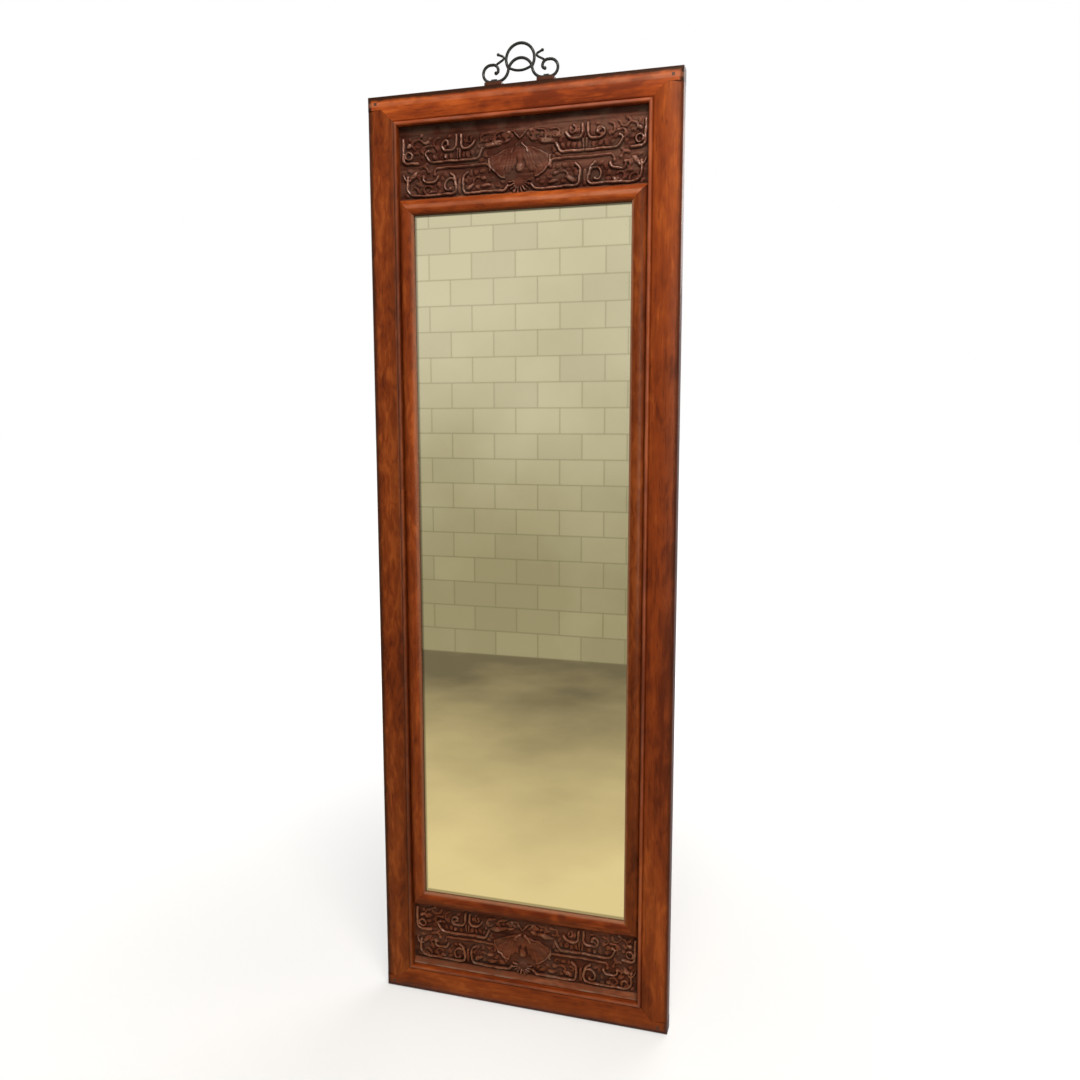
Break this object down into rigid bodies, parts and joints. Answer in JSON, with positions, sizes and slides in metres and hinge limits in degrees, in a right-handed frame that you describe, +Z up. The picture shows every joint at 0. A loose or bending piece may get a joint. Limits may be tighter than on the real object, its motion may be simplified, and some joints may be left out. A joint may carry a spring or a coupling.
{
  "type": "robing mirror",
  "caption": "Tall hanging robing mirror in a moulded hardwood frame with carved bat-and-scroll panels above and below the glass and a folding iron scroll hanger on top.",
  "frame": {"origin": "middle of the bottom edge of the outer frame, at half its depth", "axes": "+X to the right seen from the front, +Y from the glass to the wall, +Z up"},
  "size_m": [0.538, 0.03, 1.6859],
  "materials": {
    "frame_wood": "polished reddish brown hardwood, worn on the edges",
    "peg_wood": "dark end grain, flush with the face",
    "carved_wood": "dark stained relief carving with polish on the high parts",
    "packing_wood": "bare softwood",
    "back_wood": "plain unpolished boards",
    "mirror": "silvered glass, slightly warm",
    "iron": "blackened wrought iron",
    "foot_iron": "brown painted iron",
    "steel": "dull old steel"
  },
  "bodies": {
    "frame": {"left_stile": "frame_wood", "right_stile": "frame_wood", "bottom_rail": "frame_wood", "top_rail": "frame_wood", "mirror_frame_left_stile": "frame_wood", "mirror_frame_right_stile": "frame_wood", "mirror_frame_bottom_rail": "frame_wood", "mirror_frame_top_rail": "frame_wood", "bottom_left_peg": "peg_wood", "top_left_peg": "peg_wood", "bottom_right_peg": "peg_wood", "top_right_peg": "peg_wood", "lower_carved_panel": "carved_wood", "upper_carved_panel": "carved_wood", "mitre_splines": "packing_wood", "glass_packing_blocks": "packing_wood", "back_board_1": "back_wood", "back_board_2": "back_wood", "back_board_3": "back_wood", "lower_batten": "back_wood", "middle_batten": "back_wood", "upper_batten": "back_wood", "mirror_glass": "mirror", "hanger_left_foot": "foot_iron", "hanger_right_foot": "foot_iron", "hanger_left_strap": "iron", "hanger_right_strap": "iron", "batten_screws": "steel", "hanger_strap_screws": "steel"},
    "hanger": {"hanger_scroll_rod": "iron", "hanger_top_arch": "iron", "hanger_lower_bow": "iron", "hanger_left_curl": "iron", "hanger_right_curl": "iron"}
  },
  "joints": [
    {"name": "hanger_fold", "type": "hinge", "parent": "frame", "child": "hanger", "pos_m": [0, 0.002, 1.6275], "axis": [1, 0, 0], "range_deg": [-90, 90]}
  ]
}
